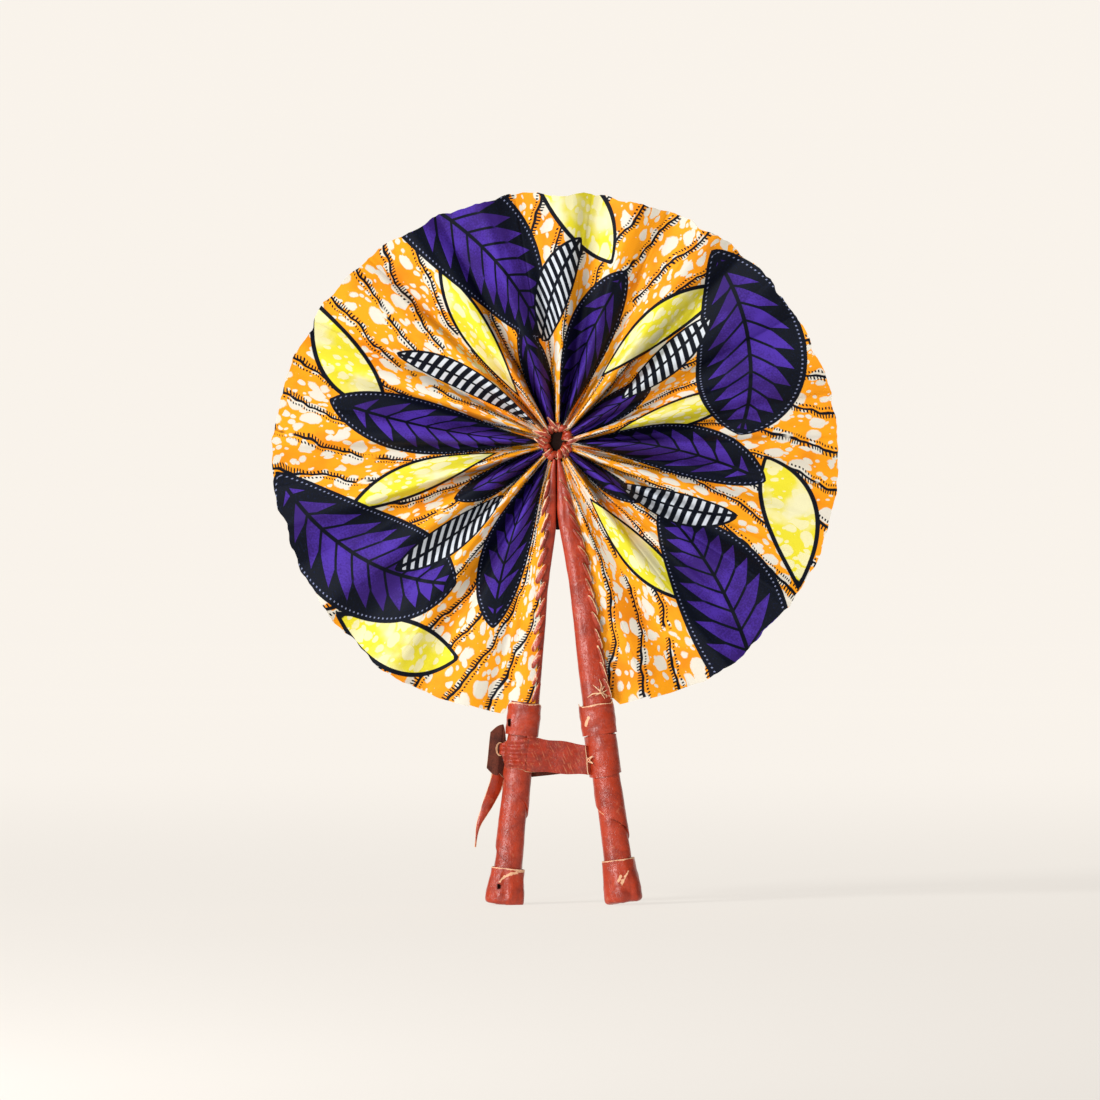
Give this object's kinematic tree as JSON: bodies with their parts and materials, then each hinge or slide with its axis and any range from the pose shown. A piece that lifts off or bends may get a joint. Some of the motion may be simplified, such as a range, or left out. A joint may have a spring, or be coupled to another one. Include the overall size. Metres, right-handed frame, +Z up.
{
  "type": "folding hand fan",
  "caption": "Round pleated cotton hand fan on two leather-bound stick handles, laced to a ring hub, that folds shut round the hub and is tied open by a leather strap.",
  "frame": {"origin": "between the two handles, where the hand closes round them, in the plane of the leaf", "axes": "+Z up from the handles to the hub and the leaf, the leaf's printed front faces -Y, +X to the right as seen from the front"},
  "size_m": [0.298, 0.015, 0.3779],
  "materials": {
    "cotton": "waxed printed cotton, softly creased",
    "leather": "thin red-brown goat leather, semi-gloss grain side",
    "leather_flesh_side": "dark brown flesh side, dull",
    "thong": "narrow leather lace with pale raw edges",
    "wood": "bare wood under the leather"
  },
  "bodies": {
    "left_handle": {"left_stick": "wood", "left_rib_sheath": "leather", "left_grip_wrap": "leather", "left_collar": "leather", "left_butt_cap": "leather", "left_selvedge": "cotton", "left_lacing": "thong", "hub_ring": "cotton", "hub_lacing": "thong", "hub_patch": "leather_flesh_side"},
    "pleat_00": {"leaf_00": "cotton"},
    "pleat_01": {"leaf_01": "cotton"},
    "pleat_02": {"leaf_02": "cotton"},
    "pleat_03": {"leaf_03": "cotton"},
    "pleat_04": {"leaf_04": "cotton"},
    "pleat_05": {"leaf_05": "cotton"},
    "pleat_06": {"leaf_06": "cotton"},
    "pleat_07": {"leaf_07": "cotton"},
    "pleat_08": {"leaf_08": "cotton"},
    "pleat_09": {"leaf_09": "cotton"},
    "pleat_10": {"leaf_10": "cotton"},
    "pleat_11": {"leaf_11": "cotton"},
    "pleat_12": {"leaf_12": "cotton"},
    "pleat_13": {"leaf_13": "cotton"},
    "pleat_14": {"leaf_14": "cotton"},
    "pleat_15": {"leaf_15": "cotton"},
    "pleat_16": {"leaf_16": "cotton"},
    "pleat_17": {"leaf_17": "cotton"},
    "pleat_18": {"leaf_18": "cotton"},
    "pleat_19": {"leaf_19": "cotton"},
    "pleat_20": {"leaf_20": "cotton"},
    "pleat_21": {"leaf_21": "cotton"},
    "pleat_22": {"leaf_22": "cotton"},
    "pleat_23": {"leaf_23": "cotton"},
    "pleat_24": {"leaf_24": "cotton"},
    "pleat_25": {"leaf_25": "cotton"},
    "pleat_26": {"leaf_26": "cotton"},
    "pleat_27": {"leaf_27": "cotton"},
    "pleat_28": {"leaf_28": "cotton"},
    "pleat_29": {"leaf_29": "cotton"},
    "pleat_30": {"leaf_30": "cotton"},
    "pleat_31": {"leaf_31": "cotton"},
    "pleat_32": {"leaf_32": "cotton"},
    "pleat_33": {"leaf_33": "cotton"},
    "pleat_34": {"leaf_34": "cotton"},
    "pleat_35": {"leaf_35": "cotton"},
    "pleat_36": {"leaf_36": "cotton"},
    "pleat_37": {"leaf_37": "cotton"},
    "right_handle": {"right_stick": "wood", "right_rib_sheath": "leather", "right_grip_wrap": "leather", "right_collar": "leather", "right_butt_cap": "leather", "right_selvedge": "cotton", "right_lacing": "thong", "strap_anchor": "leather", "strap_band": "leather", "strap_keeper": "leather_flesh_side", "strap_tail": "leather"}
  },
  "joints": [
    {"name": "leaf_fold", "type": "hinge", "parent": "left_handle", "child": "pleat_00", "pos_m": [0, 0, 0.19], "axis": [0.2419, 0, 0.9703], "range_deg": [0, 72.66], "deforming": ["strap_band", "strap_keeper", "strap_tail"]},
    {"name": "crease_01", "type": "hinge", "parent": "pleat_00", "child": "pleat_01", "pos_m": [0, 0, 0.19], "axis": [-0.3167, -0.0209, -0.9483], "range_deg": [0, 145.41]},
    {"name": "crease_02", "type": "hinge", "parent": "pleat_01", "child": "pleat_02", "pos_m": [0, 0, 0.19], "axis": [0.4601, -0.0209, 0.8876], "range_deg": [0, 145.41]},
    {"name": "crease_03", "type": "hinge", "parent": "pleat_02", "child": "pleat_03", "pos_m": [0, 0, 0.19], "axis": [-0.5923, -0.0209, -0.8054], "range_deg": [0, 145.41]},
    {"name": "crease_04", "type": "hinge", "parent": "pleat_03", "child": "pleat_04", "pos_m": [0, 0, 0.19], "axis": [0.7102, -0.0209, 0.7037], "range_deg": [0, 145.41]},
    {"name": "crease_05", "type": "hinge", "parent": "pleat_04", "child": "pleat_05", "pos_m": [0, 0, 0.19], "axis": [-0.8108, -0.0209, -0.5849], "range_deg": [0, 145.41]},
    {"name": "crease_06", "type": "hinge", "parent": "pleat_05", "child": "pleat_06", "pos_m": [0, 0, 0.19], "axis": [0.8918, -0.0209, 0.4519], "range_deg": [0, 145.41]},
    {"name": "crease_07", "type": "hinge", "parent": "pleat_06", "child": "pleat_07", "pos_m": [0, 0, 0.19], "axis": [-0.9512, -0.0209, -0.3079], "range_deg": [0, 145.41]},
    {"name": "crease_08", "type": "hinge", "parent": "pleat_07", "child": "pleat_08", "pos_m": [0, 0, 0.19], "axis": [0.9875, -0.0209, 0.1565], "range_deg": [0, 145.41]},
    {"name": "crease_09", "type": "hinge", "parent": "pleat_08", "child": "pleat_09", "pos_m": [0, 0, 0.19], "axis": [-0.9998, -0.0209, -0.0013], "range_deg": [0, 145.41]},
    {"name": "crease_10", "type": "hinge", "parent": "pleat_09", "child": "pleat_10", "pos_m": [0, 0, 0.19], "axis": [0.9879, -0.0209, -0.154], "range_deg": [0, 145.41]},
    {"name": "crease_11", "type": "hinge", "parent": "pleat_10", "child": "pleat_11", "pos_m": [0, 0, 0.19], "axis": [-0.952, -0.0209, 0.3055], "range_deg": [0, 145.41]},
    {"name": "crease_12", "type": "hinge", "parent": "pleat_11", "child": "pleat_12", "pos_m": [0, 0, 0.19], "axis": [0.893, -0.0209, -0.4496], "range_deg": [0, 145.41]},
    {"name": "crease_13", "type": "hinge", "parent": "pleat_12", "child": "pleat_13", "pos_m": [0, 0, 0.19], "axis": [-0.8124, -0.0209, 0.5828], "range_deg": [0, 145.41]},
    {"name": "crease_14", "type": "hinge", "parent": "pleat_13", "child": "pleat_14", "pos_m": [0, 0, 0.19], "axis": [0.712, -0.0209, -0.7018], "range_deg": [0, 145.41]},
    {"name": "crease_15", "type": "hinge", "parent": "pleat_14", "child": "pleat_15", "pos_m": [0, 0, 0.19], "axis": [-0.5944, -0.0209, 0.8039], "range_deg": [0, 145.41]},
    {"name": "crease_16", "type": "hinge", "parent": "pleat_15", "child": "pleat_16", "pos_m": [0, 0, 0.19], "axis": [0.4624, -0.0209, -0.8864], "range_deg": [0, 145.41]},
    {"name": "crease_17", "type": "hinge", "parent": "pleat_16", "child": "pleat_17", "pos_m": [0, 0, 0.19], "axis": [-0.3191, -0.0209, 0.9475], "range_deg": [0, 145.41]},
    {"name": "crease_18", "type": "hinge", "parent": "pleat_17", "child": "pleat_18", "pos_m": [0, 0, 0.19], "axis": [0.1682, -0.0209, -0.9855], "range_deg": [0, 145.41]},
    {"name": "crease_19", "type": "hinge", "parent": "pleat_18", "child": "pleat_19", "pos_m": [0, 0, 0.19], "axis": [-0.0131, -0.0209, 0.9997], "range_deg": [0, 145.41]},
    {"name": "crease_20", "type": "hinge", "parent": "pleat_19", "child": "pleat_20", "pos_m": [0, 0, 0.19], "axis": [-0.1423, -0.0209, -0.9896], "range_deg": [0, 145.41]},
    {"name": "crease_21", "type": "hinge", "parent": "pleat_20", "child": "pleat_21", "pos_m": [0, 0, 0.19], "axis": [0.2942, -0.0209, 0.9555], "range_deg": [0, 145.41]},
    {"name": "crease_22", "type": "hinge", "parent": "pleat_21", "child": "pleat_22", "pos_m": [0, 0, 0.19], "axis": [-0.439, -0.0209, -0.8982], "range_deg": [0, 145.41]},
    {"name": "crease_23", "type": "hinge", "parent": "pleat_22", "child": "pleat_23", "pos_m": [0, 0, 0.19], "axis": [0.5732, -0.0209, 0.8192], "range_deg": [0, 145.41]},
    {"name": "crease_24", "type": "hinge", "parent": "pleat_23", "child": "pleat_24", "pos_m": [0, 0, 0.19], "axis": [-0.6934, -0.0209, -0.7202], "range_deg": [0, 145.41]},
    {"name": "crease_25", "type": "hinge", "parent": "pleat_24", "child": "pleat_25", "pos_m": [0, 0, 0.19], "axis": [0.7968, -0.0209, 0.6038], "range_deg": [0, 145.41]},
    {"name": "crease_26", "type": "hinge", "parent": "pleat_25", "child": "pleat_26", "pos_m": [0, 0, 0.19], "axis": [-0.8809, -0.0209, -0.4728], "range_deg": [0, 145.41]},
    {"name": "crease_27", "type": "hinge", "parent": "pleat_26", "child": "pleat_27", "pos_m": [0, 0, 0.19], "axis": [0.9437, -0.0209, 0.3303], "range_deg": [0, 145.41]},
    {"name": "crease_28", "type": "hinge", "parent": "pleat_27", "child": "pleat_28", "pos_m": [0, 0, 0.19], "axis": [-0.9835, -0.0209, -0.1798], "range_deg": [0, 145.41]},
    {"name": "crease_29", "type": "hinge", "parent": "pleat_28", "child": "pleat_29", "pos_m": [0, 0, 0.19], "axis": [0.9995, -0.0209, 0.0249], "range_deg": [0, 145.41]},
    {"name": "crease_30", "type": "hinge", "parent": "pleat_29", "child": "pleat_30", "pos_m": [0, 0, 0.19], "axis": [-0.9912, -0.0209, 0.1306], "range_deg": [0, 145.41]},
    {"name": "crease_31", "type": "hinge", "parent": "pleat_30", "child": "pleat_31", "pos_m": [0, 0, 0.19], "axis": [0.9589, -0.0209, -0.2829], "range_deg": [0, 145.41]},
    {"name": "crease_32", "type": "hinge", "parent": "pleat_31", "child": "pleat_32", "pos_m": [0, 0, 0.19], "axis": [-0.9034, -0.0209, 0.4284], "range_deg": [0, 145.41]},
    {"name": "crease_33", "type": "hinge", "parent": "pleat_32", "child": "pleat_33", "pos_m": [0, 0, 0.19], "axis": [0.8259, -0.0209, -0.5635], "range_deg": [0, 145.41]},
    {"name": "crease_34", "type": "hinge", "parent": "pleat_33", "child": "pleat_34", "pos_m": [0, 0, 0.19], "axis": [-0.7284, -0.0209, 0.6849], "range_deg": [0, 145.41]},
    {"name": "crease_35", "type": "hinge", "parent": "pleat_34", "child": "pleat_35", "pos_m": [0, 0, 0.19], "axis": [0.6132, -0.0209, -0.7897], "range_deg": [0, 145.41]},
    {"name": "crease_36", "type": "hinge", "parent": "pleat_35", "child": "pleat_36", "pos_m": [0, 0, 0.19], "axis": [-0.4832, -0.0209, 0.8753], "range_deg": [0, 145.41]},
    {"name": "crease_37", "type": "hinge", "parent": "pleat_36", "child": "pleat_37", "pos_m": [0, 0, 0.19], "axis": [0.3414, -0.0209, -0.9397], "range_deg": [0, 145.41]},
    {"name": "right_hem", "type": "hinge", "parent": "pleat_37", "child": "right_handle", "pos_m": [0, 0, 0.19], "axis": [-0.2672, 0, 0.9636], "range_deg": [0, 72.67]}
  ],
  "couplings": [
    {"joint": "crease_01", "follows": "leaf_fold", "ratio": 2.0011},
    {"joint": "crease_02", "follows": "leaf_fold", "ratio": 2.0011},
    {"joint": "crease_03", "follows": "leaf_fold", "ratio": 2.0011},
    {"joint": "crease_04", "follows": "leaf_fold", "ratio": 2.0011},
    {"joint": "crease_05", "follows": "leaf_fold", "ratio": 2.0011},
    {"joint": "crease_06", "follows": "leaf_fold", "ratio": 2.0011},
    {"joint": "crease_07", "follows": "leaf_fold", "ratio": 2.0011},
    {"joint": "crease_08", "follows": "leaf_fold", "ratio": 2.0011},
    {"joint": "crease_09", "follows": "leaf_fold", "ratio": 2.0011},
    {"joint": "crease_10", "follows": "leaf_fold", "ratio": 2.0011},
    {"joint": "crease_11", "follows": "leaf_fold", "ratio": 2.0011},
    {"joint": "crease_12", "follows": "leaf_fold", "ratio": 2.0011},
    {"joint": "crease_13", "follows": "leaf_fold", "ratio": 2.0011},
    {"joint": "crease_14", "follows": "leaf_fold", "ratio": 2.0011},
    {"joint": "crease_15", "follows": "leaf_fold", "ratio": 2.0011},
    {"joint": "crease_16", "follows": "leaf_fold", "ratio": 2.0011},
    {"joint": "crease_17", "follows": "leaf_fold", "ratio": 2.0011},
    {"joint": "crease_18", "follows": "leaf_fold", "ratio": 2.0011},
    {"joint": "crease_19", "follows": "leaf_fold", "ratio": 2.0011},
    {"joint": "crease_20", "follows": "leaf_fold", "ratio": 2.0011},
    {"joint": "crease_21", "follows": "leaf_fold", "ratio": 2.0011},
    {"joint": "crease_22", "follows": "leaf_fold", "ratio": 2.0011},
    {"joint": "crease_23", "follows": "leaf_fold", "ratio": 2.0011},
    {"joint": "crease_24", "follows": "leaf_fold", "ratio": 2.0011},
    {"joint": "crease_25", "follows": "leaf_fold", "ratio": 2.0011},
    {"joint": "crease_26", "follows": "leaf_fold", "ratio": 2.0011},
    {"joint": "crease_27", "follows": "leaf_fold", "ratio": 2.0011},
    {"joint": "crease_28", "follows": "leaf_fold", "ratio": 2.0011},
    {"joint": "crease_29", "follows": "leaf_fold", "ratio": 2.0011},
    {"joint": "crease_30", "follows": "leaf_fold", "ratio": 2.0011},
    {"joint": "crease_31", "follows": "leaf_fold", "ratio": 2.0011},
    {"joint": "crease_32", "follows": "leaf_fold", "ratio": 2.0011},
    {"joint": "crease_33", "follows": "leaf_fold", "ratio": 2.0011},
    {"joint": "crease_34", "follows": "leaf_fold", "ratio": 2.0011},
    {"joint": "crease_35", "follows": "leaf_fold", "ratio": 2.0011},
    {"joint": "crease_36", "follows": "leaf_fold", "ratio": 2.0011},
    {"joint": "crease_37", "follows": "leaf_fold", "ratio": 2.0011},
    {"joint": "right_hem", "follows": "leaf_fold", "ratio": 1}
  ]
}
